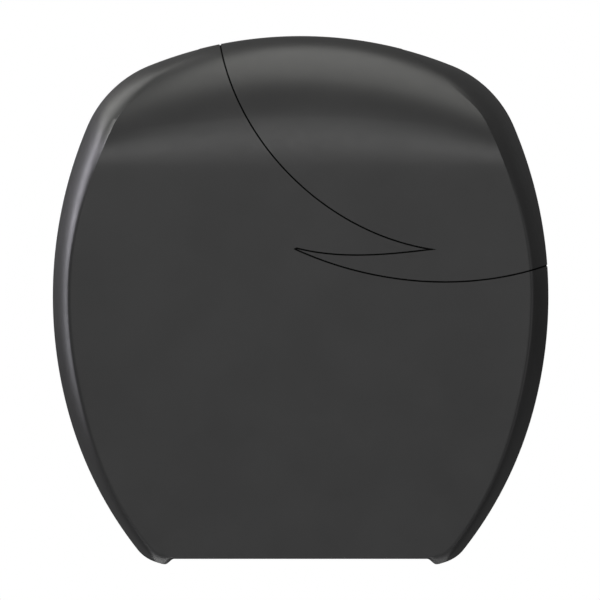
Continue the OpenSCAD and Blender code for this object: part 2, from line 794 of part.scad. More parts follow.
// Rounds the cover's rear corner about the hinge axis, so that it clears the wall as it swings.
module heel_cut() {
  on_hinge() difference() {
    translate([-body_w / 2, 0, -hinge_up - drill]) cube([body_w, hinge_d, hinge_up + drill]);
    bar(heel_r, -body_w, body_w);
  }
}
module tear_screw_places() {
  for (d = tear_screw_d) translate([tear_screw_x, -d, rail_z]) children();
}

module accent_panel() {
  color(cover_colour) difference() {
    union() {
      intersection() {
        skin_layer(0, inlay_t);
        panel_prism(0);
      }
      for (p = peg_places) translate([p.x, 0, p.y])
        stud(peg_r, body_d - wall - peg_l, body_d - inlay_t / 2);
    }
    on_lock() translate([0, 0, recess_d - drill]) cylinder(h = lock_cut, r = lock_flange_r + lock_gap);
  }
}
module panel_clips() {
  color(steel_colour) for (p = peg_places) translate([p.x, 0, p.y]) difference() {
    stud(clip_r, body_d - wall - clip_t, body_d - wall);
    stud(peg_r, body_d - wall - clip_t - drill, body_d - wall + drill);
  }
}

// A toothed strip, teeth towards the paper opening.
module tear_edge() {
  teeth = round(tear_l / tooth_pitch);
  pitch = tear_l / teeth;
  root_x = rail_x + rail_w - tear_w + tooth_h;
  color(steel_colour) difference() {
    translate([0, -tear_d[1], rail_z]) linear_extrude(height = tear_t) polygon(concat(
      [[rail_x + rail_w, tear_l], [rail_x + rail_w, 0]],
      [for (i = [0:teeth - 1]) each [[root_x, i * pitch], [root_x - tooth_h, (i + 0.5) * pitch]]],
      [[root_x, tear_l]]));
    tear_screw_places() cylinder(h = tear_hole_h, r = tear_screw_r, center = true);
  }
}
module tear_edge_left() { mirror([1, 0, 0]) tear_edge(); }
module tear_edge_right() { tear_edge(); }
module tear_edge_screws() {
  color(steel_colour) both_sides() tear_screw_places() {
    translate([0, 0, -tear_screw_grip])
      cylinder(h = tear_screw_grip + tear_t + tear_screw_r / 2, r = tear_screw_r);
    translate([0, 0, tear_t]) cylinder(h = 1.15 * tear_screw_r, r = 2 * tear_screw_r);
  }
}

module lock_housing() {
  color(steel_colour) on_lock() difference() {
    union() {
      translate([0, 0, recess_d]) cylinder(h = lock_flange_t, r = lock_flange_r);
      translate([0, 0, housing_low]) cylinder(h = housing_l, r = housing_r);
    }
    translate([0, 0, housing_low - drill])
      cylinder(h = housing_l + lock_flange_t + 2 * drill, r = barrel_r + barrel_gap);
  }
}
module lock_nut() {
  color(steel_colour) on_lock() translate([0, 0, recess_d - lock_boss_h - nut_t]) difference() {
    cylinder(h = nut_t, r = nut_w / 2 / cos(30), $fn = 6);
    translate([0, 0, -drill]) cylinder(h = nut_t + 2 * drill, r = housing_r);
  }
}

// ---- Turning with the key ----

barrel_gap = 0.05;
key_depth = 5;
cam_screw_r = 1.5;
cam_screw_l = 7;
cam_bore_l = 8;
cam_head_r = 3.2;
cam_head_h = 2;

module lock_barrel() {
  color(steel_colour) on_lock() difference() {
    translate([0, 0, cam_top]) cylinder(h = lock_top - cam_top, r = barrel_r);
    translate([-key_w / 2, -key_l / 2, lock_top - key_depth]) cube([key_w, key_l, key_depth + drill]);
    translate([0, 0, cam_top - drill]) cylinder(h = cam_bore_l + drill, r = cam_screw_r);
  }
}
// The cam points to the wall when the lock is open, and turns to the right behind the keeper.
module lock_cam() {
  color(steel_colour) on_lock() translate([0, 0, cam_top - cam_t]) difference() {
    union() {
      cylinder(h = cam_t, r = barrel_r);
      translate([-cam_w / 2, 0, 0]) cube([cam_w, cam_l, cam_t]);
    }
    translate([0, 0, -drill]) cylinder(h = cam_t + 2 * drill, r = cam_screw_r);
  }
}
module cam_screw() {
  color(steel_colour) on_lock() {
    translate([0, 0, cam_top - cam_t - drill / 2]) cylinder(h = cam_t + cam_screw_l, r = cam_screw_r);
    translate([0, 0, cam_top - cam_t - cam_head_h]) cylinder(h = cam_head_h, r = cam_head_r);
  }
}

back_plate();
hinge_pin_left();
hinge_pin_right();
keeper_bracket();
keeper_screws();
spindle_post();
spindle_screws();
brake_spring();
brake_screw();
retaining_washer();
retaining_screw();
brake_disc();
hub_core();
hub_bush_rear();
hub_bush_front();
hub_cap();
cover_shell();
accent_panel();
panel_clips();
tear_edge_left();
tear_edge_right();
tear_edge_screws();
lock_housing();
lock_nut();
lock_barrel();
lock_cam();
cam_screw();
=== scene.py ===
"""Looks of the jumbo toilet roll dispenser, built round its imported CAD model, in metres."""
import math

import bpy
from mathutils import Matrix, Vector


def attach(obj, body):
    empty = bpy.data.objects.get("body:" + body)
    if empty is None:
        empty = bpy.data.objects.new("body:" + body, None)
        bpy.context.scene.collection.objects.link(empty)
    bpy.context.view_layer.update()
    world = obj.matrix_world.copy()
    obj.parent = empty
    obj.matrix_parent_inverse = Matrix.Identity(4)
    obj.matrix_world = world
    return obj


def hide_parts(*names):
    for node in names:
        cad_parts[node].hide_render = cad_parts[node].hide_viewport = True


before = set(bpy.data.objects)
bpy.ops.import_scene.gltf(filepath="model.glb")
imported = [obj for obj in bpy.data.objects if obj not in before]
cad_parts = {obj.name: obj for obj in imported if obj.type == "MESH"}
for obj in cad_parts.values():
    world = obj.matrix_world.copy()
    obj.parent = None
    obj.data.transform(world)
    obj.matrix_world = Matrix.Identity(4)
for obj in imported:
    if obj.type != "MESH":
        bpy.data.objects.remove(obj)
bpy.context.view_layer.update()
scene = bpy.context.scene
MM = 0.001


# ---- Camera and light ----

def aim(thing, at):
    """Turns a lamp or the camera so that it looks at a point."""
    here = thing.location
    away = (at[0] - here.x, at[1] - here.y, at[2] - here.z)
    thing.rotation_euler = Vector(away).to_track_quat("-Z", "Y").to_euler()


VIEW_DISTANCE = 16.0
FIELD_WIDTH = 0.3873
SILHOUETTE_Y = -0.05
bpy.ops.object.camera_add(location=(-0.0004, SILHOUETTE_Y - VIEW_DISTANCE, -0.0022),
                          rotation=(math.radians(90), 0, 0))
camera = bpy.context.object
camera.data.sensor_width = 36
camera.data.lens = 36 * VIEW_DISTANCE / FIELD_WIDTH
camera.data.clip_end = 60
scene.camera = camera

scene.view_settings.view_transform = "Standard"


WHITE = (1.0, 1.0, 1.0)
WARM = (1.0, 1.0, 0.96)


def softbox(name, place, at, width, height, radiance, colour=WHITE, shape="RECTANGLE"):
    """An area lamp of a plain surface brightness, which the camera doesn't see."""
    bpy.ops.object.light_add(type="AREA", location=place)
    lamp = bpy.context.object
    lamp.name = name
    lamp.data.shape = shape
    lamp.data.size = width
    lamp.data.size_y = height
    lamp.data.energy = radiance * width * height * math.pi
    if shape == "ELLIPSE":
        lamp.data.energy *= math.pi / 4
    lamp.data.color = colour
    lamp.visible_camera = False
    aim(lamp, at)


def make_lights():
    centre = (0, 0, 0)
    softbox("overhead_box", (0.1, -0.14, 1.5), (0.1, -0.14, 0), 1.15, 1.38, 2.0, WARM, "ELLIPSE")
    softbox("front_strip", (0, -2.6, 0.87), centre, 1.8, 1.1, 1.74, (1.0, 1.0, 0.99))
    softbox("left_strip", (-1.5, 1.15, 0.58), centre, 0.5, 0.75, 4.3, (0.93, 0.91, 1.0))
    softbox("left_low_strip", (-1.5, 1.15, -0.08), centre, 0.5, 0.55, 2.0, (0.93, 0.92, 1.0))
    softbox("left_back_box", (-1.05, 1.2, 1.35), centre, 0.8, 1.3, 1.5, WARM)
    softbox("low_left_strip", (-0.41, -0.53, -0.92), (-0.09, -0.12, -0.16), 0.85, 0.34, 4.4)
    softbox("low_right_strip", (0.41, -0.53, -0.92), (0.09, -0.12, -0.16), 0.85, 0.34, 1.8)
    softbox("right_panel", (2.0, -0.15, 0.2), centre, 1.1, 1.8, 0.4)


def ranged(tree, source, low, high, to_low, to_high):
    """Maps a number from one range to another, and holds it at the ends."""
    node = tree.nodes.new("ShaderNodeMapRange")
    for name, value in (("From Min", low), ("From Max", high),
                        ("To Min", to_low), ("To Max", to_high)):
        node.inputs[name].default_value = value
    tree.links.new(source, node.inputs["Value"])
    return node.outputs[0]


def worked_out(tree, operation, *terms):
    """A Math node on sockets and plain numbers."""
    node = tree.nodes.new("ShaderNodeMath")
    node.operation = operation
    for socket, term in zip(node.inputs, terms):
        if isinstance(term, float):
            socket.default_value = term
        else:
            tree.links.new(term, socket)
    return node.outputs[0]


def mixed(tree, share, first, second):
    """One of two shaders, or a mix of them."""
    node = tree.nodes.new("ShaderNodeMixShader")
    for socket, source in zip(node.inputs, (share, first, second)):
        tree.links.new(source, socket)
    return node.outputs[0]


def make_room():
    """White to the camera; for all else a dim studio, darker to the right, behind and level."""
    world = bpy.data.worlds.new("studio")
    scene.world = world
    world.use_nodes = True
    tree = world.node_tree
    nodes, links = tree.nodes, tree.links
    nodes.clear()
    path = nodes.new("ShaderNodeLightPath")
    white = nodes.new("ShaderNodeBackground")
    room = nodes.new("ShaderNodeBackground")
    for background in (white, room):
        background.inputs["Color"].default_value = (*WHITE, 1)
    way = nodes.new("ShaderNodeTexCoord")
    split = nodes.new("ShaderNodeSeparateXYZ")
    links.new(way.outputs["Generated"], split.inputs[0])
    across = ranged(tree, split.outputs["X"], -0.7, 0.7, 0.42, 0.15)
    depth = ranged(tree, split.outputs["Y"], -0.9, 0.3, 1.3, 0.35)
    from_level = worked_out(tree, "ABSOLUTE", worked_out(tree, "ADD", split.outputs["Z"], 0.03))
    level_belt = ranged(tree, from_level, 0.0, 0.17, 0.3, 1.0)
    sides = worked_out(tree, "MULTIPLY", across, depth)
    links.new(worked_out(tree, "MULTIPLY", sides, level_belt), room.inputs["Strength"])
    seen = mixed(tree, path.outputs["Is Camera Ray"], room.outputs[0], white.outputs[0])
    out = nodes.new("ShaderNodeOutputWorld")
    links.new(seen, out.inputs["Surface"])


make_room()
make_lights()


# ---- Procedural finishes ----

def new_finish(name, rough, metallic=0.0):
    mat = bpy.data.materials.new(name)
    mat.use_nodes = True
    shader = mat.node_tree.nodes["Principled BSDF"]
    shader.inputs["Roughness"].default_value = rough
    shader.inputs["Metallic"].default_value = metallic
    return mat, shader


def speckle(mat, size, stretch=(1, 1, 1), detail=2.0):
    """Noise on the piece's own coordinates, with features of about the given size in mm."""
    nodes, links = mat.node_tree.nodes, mat.node_tree.links
    coord = nodes.new("ShaderNodeTexCoord")
    place = nodes.new("ShaderNodeMapping")
    place.inputs["Scale"].default_value = stretch
    links.new(coord.outputs["Object"], place.inputs["Vector"])
    noise = nodes.new("ShaderNodeTexNoise")
    noise.inputs["Scale"].default_value = 1 / (size * MM)
    noise.inputs["Detail"].default_value = detail
    links.new(place.outputs["Vector"], noise.inputs["Vector"])
    return noise


def ramp(mat, source, low, high, dark, light):
    """A colour that runs from dark to light between two values of the source."""
    node = mat.node_tree.nodes.new("ShaderNodeValToRGB")
    node.color_ramp.elements[0].position = low
    node.color_ramp.elements[0].color = (*dark, 1)
    node.color_ramp.elements[1].position = high
    node.color_ramp.elements[1].color = (*light, 1)
    mat.node_tree.links.new(source.outputs["Fac"], node.inputs["Fac"])
    return node


def spread(mat, source, shader, low, high):
    """Lets the roughness vary between two values."""
    rough = ranged(mat.node_tree, source.outputs["Fac"], 0.3, 0.7, low, high)
    mat.node_tree.links.new(rough, shader.inputs["Roughness"])


def relief(mat, source, shader, height, strength):
    """Raises the surface by up to a height in mm."""
    node = mat.node_tree.nodes.new("ShaderNodeBump")
    node.inputs["Distance"].default_value = height * MM
    node.inputs["Strength"].default_value = strength
    mat.node_tree.links.new(source.outputs["Fac"], node.inputs["Height"])
    mat.node_tree.links.new(node.outputs["Normal"], shader.inputs["Normal"])


def moulded_plastic(name, colour, rough, grain=0.5, grain_height=0.03):
    """Slightly clouded plastic with a fine moulded grain; the sizes are in mm."""
    mat, shader = new_finish(name, rough)
    cloud = speckle(mat, 40)
    dark = tuple(0.94 * c for c in colour)
    light = tuple(1.06 * c for c in colour)
    tint = ramp(mat, cloud, 0.35, 0.65, dark, light)
    mat.node_tree.links.new(tint.outputs["Color"], shader.inputs["Base Color"])
    spread(mat, speckle(mat, 6), shader, rough - 0.02, rough + 0.02)
    relief(mat, speckle(mat, grain), shader, grain_height, 0.5)
    return mat


def brushed_metal(name, colour, rough, stretch, size=0.6):
    """Metal with fine lines along the axes that are stretched least."""
    mat, shader = new_finish(name, rough, metallic=1.0)
    lines = speckle(mat, size, stretch, 4.0)
    dark = tuple(0.86 * c for c in colour)
    tint = ramp(mat, lines, 0.3, 0.7, dark, colour)
    mat.node_tree.links.new(tint.outputs["Color"], shader.inputs["Base Color"])
    spread(mat, lines, shader, rough - 0.05, rough + 0.08)
    relief(mat, lines, shader, 0.01, 0.3)
    return mat


cover_plastic = moulded_plastic("satin_black_plastic", (0.042, 0.042, 0.0425), 0.33)
# Near-black, dull and barely reflecting: painted shade for the floor of the seam's recess, so that
# the gap reads as shadow.
seam_shade_plastic = moulded_plastic("painted_seam_shade_plastic", (0.008, 0.008, 0.008), 0.9)
seam_shade_plastic.node_tree.nodes["Principled BSDF"].inputs["Specular IOR Level"].default_value = 0.1
plate_plastic = moulded_plastic("matt_black_plastic", (0.03, 0.03, 0.032), 0.55, 0.8, 0.05)
hub_plastic = moulded_plastic("grey_hub_plastic", (0.35, 0.36, 0.37), 0.42)
bush_plastic = moulded_plastic("acetal", (0.75, 0.74, 0.68), 0.3)
zinc_plate = brushed_metal("zinc_plate", (0.62, 0.63, 0.64), 0.3, (1, 1, 0.6), 1.2)
spring_metal = brushed_metal("spring_steel", (0.4, 0.41, 0.43), 0.26, (0.3, 0.3, 3))
tear_metal = brushed_metal("brushed_stainless", (0.66, 0.67, 0.68), 0.28, (4, 0.15, 4))
lock_metal = brushed_metal("nickel_zinc", (0.55, 0.55, 0.56), 0.2, (1, 1, 1), 2.0)


# ---- Outline and skin of the cover, in mm, as in the part's source ----

BODY_W, BODY_H, BODY_D, AXIS_H = 320.0, 340.0, 130.0, 172.0
WALL, RIM_GAP = 2.8, 2.0
CROWN_R, SHOULDER_R, SIDE_R, LOWER_R, FOOT_R = 262.0, 73.0, 282.0, 249.0, 23.0
SIDE_TURN, CROWN_PART, STEP_W, STEP_H = 106.0, 0.656, 6.0, 3.5
SHOULDER_INSET, SIDE_INSET, FOOT_INSET, CREASE_RISE = 15.0, 10.0, 6.0, 6.7
SOFT_W, SOFT_FOOT_W, SOFT_D = 2.5, 6.5, 2.5
SHOULDER_END, SIDE_START, SIDE_END, SOFT_START = 62, 88, 100, 47
STRAIGHT_D, BULGE_TURN, ROLL_BACK_PART, ROLL_BACK_D = 50.0, 70.0, 0.494, 60.0
INLAY_T, INLAY_GAP, SEAM_GAP, PANEL_REAR = 1.5, 0.1, 1.0, 7.0
TOP_Z, FOOT_Z = BODY_H - AXIS_H, -AXIS_H
HINGE_D, HINGE_Z = 18.0, FOOT_Z + 14
ROLL_Z = TOP_Z * (1 - ROLL_BACK_PART)


def out_along(turn):
    """The outward direction at a turn from straight up, in degrees."""
    return math.sin(math.radians(turn)), math.cos(math.radians(turn))


def circles_meet(p, p_r, q, q_r):
    """The right-hand point where two circles meet."""
    gap = math.dist(p, q)
    along = (p_r ** 2 - q_r ** 2 + gap ** 2) / (2 * gap)
    across = math.sqrt(p_r ** 2 - along ** 2)
    ux, uz = (q[0] - p[0]) / gap, (q[1] - p[1]) / gap
    return p[0] + along * ux + across * uz, p[1] + along * uz - across * ux


def smooth(a, low, high):
    """Eases from 0 at low to 1 at high."""
    t = min(1, max(0, (a - low) / (high - low)))
    return t * t * (3 - 2 * t)


CROWN_C = (0.0, TOP_Z - CROWN_R)
SIDE_C = (BODY_W / 2 - SIDE_R, 0.0)
SHOULDER_C = circles_meet(CROWN_C, CROWN_R - SHOULDER_R, SIDE_C, SIDE_R - SHOULDER_R)
LOWER_C = tuple(c + (SIDE_R - LOWER_R) * d for c, d in zip(SIDE_C, out_along(SIDE_TURN)))
CROWN_TURN = math.degrees(math.atan2(SHOULDER_C[0], SHOULDER_C[1] - CROWN_C[1]))
CROWN_EDGE = CROWN_PART * CROWN_TURN
SHOULDER_TURN = math.degrees(math.atan2(SHOULDER_C[0] - SIDE_C[0], SHOULDER_C[1]))
FOOT_TURN = math.degrees(math.acos((FOOT_Z + FOOT_R - LOWER_C[1]) / (LOWER_R - FOOT_R)))
FOOT_C = tuple(c + (LOWER_R - FOOT_R) * d for c, d in zip(LOWER_C, out_along(FOOT_TURN)))
OPENING_HALF = FOOT_C[0] - STEP_W


def crease_inset(a):
    """How far the crease lies inside the outline at a turn."""
    return (SHOULDER_INSET * (1 - math.exp(-max(0, a - CROWN_EDGE) / CREASE_RISE))
            - (SHOULDER_INSET - SIDE_INSET) * smooth(a, SHOULDER_END, SIDE_START)
            - (SIDE_INSET - FOOT_INSET) * smooth(a, SIDE_END, FOOT_TURN)
            - FOOT_INSET * smooth(a, FOOT_TURN, 180))


def soft_width(a):
    """Width of the soft strip beside the crease."""
    return (SOFT_W * smooth(a, SOFT_START, SIDE_START)
            + (SOFT_FOOT_W - SOFT_W) * smooth(a, FOOT_TURN, 180))


STEP_STEPS, FOOT_STEPS, LOWER_STEPS = 8, 12, 16
SIDE_STEPS, SHOULDER_STEPS, CREASE_STEPS = 34, 30, 16


def outline_stations():
    """Stations from the front wall's lower edge round the foot and up to the crown.

    Each is x, z, turn, the crease's inset and the soft strip's width.
    """
    found = []
    for i in range(STEP_STEPS + 1):
        t = i / STEP_STEPS
        found.append((OPENING_HALF + STEP_W * t,
                      FOOT_Z + STEP_H * (1 + math.cos(math.pi * t)) / 2, 180, 0, SOFT_FOOT_W * t))

    def arc(centre, radius, start, end, steps, crowd=False):
        for i in range(1, steps + 1):
            t = 1 - (1 - i / steps) ** 2 if crowd else i / steps
            a = start + (end - start) * t
            d = out_along(a)
            found.append((centre[0] + radius * d[0], centre[1] + radius * d[1], a,
                          crease_inset(a), soft_width(a)))

    arc(FOOT_C, FOOT_R, 180, FOOT_TURN, FOOT_STEPS)
    arc(LOWER_C, LOWER_R, FOOT_TURN, SIDE_TURN, LOWER_STEPS)
    arc(SIDE_C, SIDE_R, SIDE_TURN, SHOULDER_TURN, SIDE_STEPS)
    arc(SHOULDER_C, SHOULDER_R, SHOULDER_TURN, CROWN_TURN, SHOULDER_STEPS)
    arc(CROWN_C, CROWN_R, CROWN_TURN, CROWN_EDGE, CREASE_STEPS, crowd=True)
    return found


STATIONS = outline_stations()


def inset_point(s, skin, inset):
    d = out_along(s[2])
    return s[0] - (skin + inset) * d[0], s[1] - (skin + inset) * d[1]


def crown_line(x, skin):
    """Height of the crown at x."""
    return CROWN_C[1] + math.sqrt((CROWN_R - skin) ** 2 - x * x)


def roll_share(p, skin):
    """How far a point of the front lies between the flat part and the crown, from 0 to 1."""
    return min(1, max(0, (p[1] - ROLL_Z) / (crown_line(p[0], skin) - ROLL_Z)))


def front_y(share, skin):
    return skin - BODY_D + (ROLL_BACK_D - skin) * (1 - math.sqrt(1 - share * share))


BULGE_ROWS, SOFT_ROWS = 12, 6
# Share of the soft strip at the feet that stays a flat bevel beside the crease.
FOOT_CRISP, CRISP_BEFORE, CRISP_PAST = 0.6, 10, 12
WALL_ROWS = 1 + BULGE_ROWS + SOFT_ROWS


def wall_row(s, skin, k, rear):
    """Inset and Y of row k of a side wall: rear edge, bulge, then the soft strip."""
    edge = inset_point(s, skin, s[3] + s[4])
    edge_y = front_y(roll_share(edge, skin), skin)
    length = edge_y + SOFT_D + STRAIGHT_D
    full = math.radians(BULGE_TURN)
    if k == 0:
        return 0, rear
    if k <= BULGE_ROWS + 1:
        a = full * (k - 1) / BULGE_ROWS
        return (s[3] * (1 - math.cos(a)) / (1 - math.cos(full)),
                -STRAIGHT_D + length * math.sin(a) / math.sin(full))
    slope = s[3] * math.sin(full) / (1 - math.cos(full)) * math.tan(full) / max(1, -length)
    t = (k - BULGE_ROWS - 1) / SOFT_ROWS
    crisp = FOOT_CRISP * s[4] * smooth(s[2], FOOT_TURN - CRISP_BEFORE, FOOT_TURN + CRISP_PAST)
    bend = max(min(s[4], SOFT_D * slope), crisp)
    return (s[3] + 2 * t * (1 - t) * bend + t * t * s[4],
            edge_y + SOFT_D * (1 - t) ** 2)


def wall_point(s, skin, k, hand, rear):
    inset, y = wall_row(s, skin, k, rear)
    x, z = inset_point(s, skin, inset)
    return hand * x, y, z


COLUMNS, NEAR_EDGE = 72, 0.994
SHARES = ([-1, -NEAR_EDGE] + [2 * m / COLUMNS - 1 for m in range(1, COLUMNS)]
          + [NEAR_EDGE, 1])


def front_point(s, skin, share_x):
    edge = inset_point(s, skin, s[3] + s[4])
    u = roll_share(edge, skin)
    x = edge[0] * share_x
    z = ROLL_Z + u * (crown_line(x, skin) - ROLL_Z) if u > 0 else edge[1]
    return x, front_y(u, skin), z


def crown_point(skin, k, share_x, rear):
    s = STATIONS[-1]
    x = inset_point(s, skin, 0)[0] * share_x
    return x, wall_row(s, skin, k, rear)[1], crown_line(x, skin)


# ---- Bench tools ----

def drop_all():
    if bpy.context.object and bpy.context.object.mode != "OBJECT":
        bpy.ops.object.mode_set(mode="OBJECT")
    bpy.ops.object.select_all(action="DESELECT")


def pick(*things):
    drop_all()
    for thing in things:
        thing.select_set(True)
    bpy.context.view_layer.objects.active = things[0]


def join(*things):
    pick(*things)
    if len(things) > 1:
        bpy.ops.object.join()
    return bpy.context.object


def apply_all(piece):
    pick(piece)
    for modifier in list(piece.modifiers):
        bpy.ops.object.modifier_apply(modifier=modifier.name)


def settle(piece):
    """Puts the piece's place into its mesh."""
    pick(piece)
    bpy.ops.object.transform_apply(location=True, rotation=True, scale=True)


def combine(piece, tool, how):
    """Cuts with, keeps inside, or unites with a closed tool, which is used up."""
    modifier = piece.modifiers.new("combine", "BOOLEAN")
    modifier.operation = how
    modifier.solver = "EXACT"
    modifier.object = tool
    apply_all(piece)
    bpy.data.objects.remove(tool)
    return piece


def cut(piece, tool):
    return combine(piece, tool, "DIFFERENCE")


def paint(piece, finishes, number):
    """Gives a piece its finishes, and all its faces the one with that number."""
    piece.data.materials.clear()
    for finish in finishes:
        piece.data.materials.append(finish)
    for face in piece.data.polygons:
        face.material_index = number


def soften(piece, width, segments=2, angle=40):
    modifier = piece.modifiers.new("edges", "BEVEL")
    modifier.width = width * MM
    modifier.segments = segments
    modifier.limit_method = "ANGLE"
    modifier.angle_limit = math.radians(angle)
    apply_all(piece)


def finish_piece(piece, name, body, mat, slot, *nodes, angle=30):
    settle(piece)
    bpy.ops.object.shade_smooth_by_angle(angle=math.radians(angle))
    piece.name = name
    if mat:
        paint(piece, [mat], 0)
    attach(piece, body)
    if nodes:
        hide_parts(*nodes)
    return piece


def grid_from(columns, rows, place):
    """A grid primitive whose points are moved to place(column, row), in mm."""
    drop_all()
    bpy.ops.mesh.primitive_grid_add(x_subdivisions=columns, y_subdivisions=rows, size=2)
    sheet = bpy.context.object
    for v in sheet.data.vertices:
        i = round((v.co.x + 1) / 2 * columns)
        j = round((v.co.y + 1) / 2 * rows)
        v.co = [MM * c for c in place(i, j)]
    return sheet


def rod(radius, start, end, sides=48):
    """A closed cylinder between two points that differ along one axis, in mm."""
    axis = max(range(3), key=lambda i: abs(end[i] - start[i]))
    turn = [(0, math.pi / 2, 0), (math.pi / 2, 0, 0), (0, 0, 0)][axis]
    middle = [MM * (a + b) / 2 for a, b in zip(start, end)]
    drop_all()
    bpy.ops.mesh.primitive_cylinder_add(vertices=sides, radius=radius * MM,
                                        depth=abs(end[axis] - start[axis]) * MM,
                                        location=middle, rotation=turn)
    made = bpy.context.object
    settle(made)
    return made


def block(low, high):
    drop_all()
    bpy.ops.mesh.primitive_cube_add(size=1, location=[MM * (a + b) / 2 for a, b in zip(low, high)])
    made = bpy.context.object
    made.scale = [MM * (b - a) for a, b in zip(low, high)]
    settle(made)
    return made


# ---- Cover and accent panel ----

def skin_sheet(skin, rear=-RIM_GAP):
    """The open outer skin of the cover at a depth below its surface."""
    top = len(STATIONS) - 1
    across = len(SHARES) - 1
    belt = 2 * WALL_ROWS + across

    def belt_place(i, j):
        s = STATIONS[j]
        if i <= WALL_ROWS:
            return wall_point(s, skin, i, -1, rear)
        if i >= belt - WALL_ROWS:
            return wall_point(s, skin, belt - i, 1, rear)
        return front_point(s, skin, SHARES[i - WALL_ROWS])

    belts = grid_from(belt, top, belt_place)
    crown = grid_from(across, WALL_ROWS, lambda i, j: crown_point(skin, j, SHARES[i], rear))
    sheet = join(belts, crown)
    bpy.ops.object.mode_set(mode="EDIT")
    bpy.ops.mesh.select_all(action="SELECT")
    bpy.ops.mesh.remove_doubles(threshold=0.000005)
    bpy.ops.object.mode_set(mode="OBJECT")
    return sheet


def skin_layer(outer, inner, rear=-RIM_GAP):
    """The closed layer between two skins: the cover's wall, or a part of its thickness."""
    layer = join(skin_sheet(outer, rear), skin_sheet(inner, rear))
    bpy.ops.object.mode_set(mode="EDIT")
    bpy.ops.mesh.select_mode(type="EDGE")
    bpy.ops.mesh.select_all(action="DESELECT")
    bpy.ops.mesh.select_non_manifold(use_wire=False, use_multi_face=False,
                                     use_non_contiguous=False, use_verts=False)
    bpy.ops.mesh.bridge_edge_loops()
    bpy.ops.mesh.select_all(action="SELECT")
    bpy.ops.mesh.normals_make_consistent(inside=False)
    bpy.ops.object.mode_set(mode="OBJECT")
    return layer


SEAM_TIP = (87.7, 30.3)
SEAM_BACK = (-2.7, 30.6)
SEAM_A = ((-51.4, 162.8), (-39.4, 95.6), (20.4, 39.0), SEAM_TIP)
SEAM_B = (SEAM_TIP, (57.6, 26.6), (26.9, 23.1), SEAM_BACK)
SEAM_C = (SEAM_BACK, (46.9, 8.2), (106.1, 2.6), (158.1, 20.5))
BEYOND, TIP_BLUNT, BACK_BLUNT = 30, 8, 2


def sweep(c, by, steps=40):
    """Points of a cubic sweep, moved sideways to the left of its own direction."""
    found = []
    for i in range(steps + 1):
        t = i / steps
        w = ((1 - t) ** 3, 3 * (1 - t) ** 2 * t, 3 * (1 - t) * t * t, t ** 3)
        d = (3 * (1 - t) ** 2, 6 * (1 - t) * t, 3 * t * t)
        x, z = (sum(wi * p[n] for wi, p in zip(w, c)) for n in (0, 1))
        dx, dz = (sum(di * (c[k + 1][n] - c[k][n]) for k, di in enumerate(d)) for n in (0, 1))
        size = math.hypot(dx, dz)
        found.append((x - by * dz / size, z + by * dx / size))
    return found


def panel_region(grow):
    """The panel's edge, grown outwards, with its sharp tips blunted where it is grown."""
    a, b, c = (sweep(seam, -grow) for seam in (SEAM_A, SEAM_B, SEAM_C))
    beyond_x, beyond_z = BODY_W / 2 + BEYOND, TOP_Z + BEYOND
    start, end = [(a[0][0], beyond_z)], [(beyond_x, c[-1][1]), (beyond_x, beyond_z)]
    if not grow:
        return start + a + b[1:] + c[1:] + end
    blunt = SEAM_TIP[0] - TIP_BLUNT * grow
    a = [p for p in a if p[0] < blunt] + [(blunt + grow, SEAM_TIP[1])]
    b = [p for p in b if p[0] < blunt]
    return start + a + b + [(SEAM_BACK[0] - BACK_BLUNT * grow, SEAM_BACK[1])] + c + end


def panel_prism(grow):
    """The panel's region as a closed block through the cover's whole depth."""
    edge = panel_region(grow)
    drop_all()
    bpy.ops.mesh.primitive_circle_add(vertices=len(edge), radius=1, fill_type="NGON")
    prism = bpy.context.object
    order = sorted(prism.data.vertices, key=lambda v: math.atan2(v.co.y, v.co.x) % (2 * math.pi))
    for v, (x, z) in zip(order, edge):
        v.co = (x * MM, (grow - PANEL_REAR) * MM, z * MM)
    bpy.ops.object.mode_set(mode="EDIT")
    bpy.ops.mesh.select_all(action="SELECT")
    bpy.ops.mesh.extrude_region_move(TRANSFORM_OT_translate={"value": (0, -BODY_D * MM, 0)})
    bpy.ops.mesh.select_all(action="SELECT")
    bpy.ops.mesh.normals_make_consistent(inside=False)
    bpy.ops.object.mode_set(mode="OBJECT")
    return prism


LOCK_D, LOCK_TOP = 32.0, TOP_Z - 0.6
LOCK_FLANGE_R, LOCK_FLANGE_T, HOUSING_R = 11.5, 1.4, 9.0
FLANGE_FIT, HOUSING_FIT, DRILL = 0.2, 0.1, 10
LOCK_BOSS_WALL, LOCK_BOSS_H, BOSS_BITE = 3, 3.6, 0.3
RECESS_Z = LOCK_TOP - LOCK_FLANGE_T
PEG_R, PEG_L = 2, 4
PEG_PLACES = ((30, 63), (76, 58), (126, 62), (124, 30), (62, 19))
EAR_R, EAR_T, PIN_BORE_R, HEEL_R = 8, 7, 2.55, 16.8
LUG_X = OPENING_HALF + 4
RAIL_X = OPENING_HALF + 3.5
RAIL_W, RAIL_Z, LIP_Z = 10.0, FOOT_Z + 9.0, FOOT_Z + 3.2
SOLE_Z, WEB_INSET, WEB_W = FOOT_Z + 0.65 * WALL, 1.0, 6.0
TEAR_D = (HINGE_D + 18, HINGE_D + 98)


def make_lug(hand):
    """A hinge lug: a bored eye on a foot that stands on the cover's bottom."""
    inner, outer = hand * LUG_X, hand * (LUG_X + EAR_T)
    eye = rod(EAR_R, (inner, -HINGE_D, HINGE_Z), (outer, -HINGE_D, HINGE_Z))
    low = min(inner, outer)
    foot = block((low, -HINGE_D - EAR_R, SOLE_Z), (low + EAR_T, -HINGE_D + EAR_R, HINGE_Z))
    lug = combine(eye, foot, "UNION")
    cut(lug, rod(PIN_BORE_R, (hand * (LUG_X - 2), -HINGE_D, HINGE_Z),
                 (hand * (LUG_X + EAR_T + 2), -HINGE_D, HINGE_Z)))
    soften(lug, 0.4)
    return lug


def lock_rod(radius, low, high):
    """A cylinder on the lock's axis, from low to high."""
    return rod(radius, (0, -LOCK_D, low), (0, -LOCK_D, high), 64)


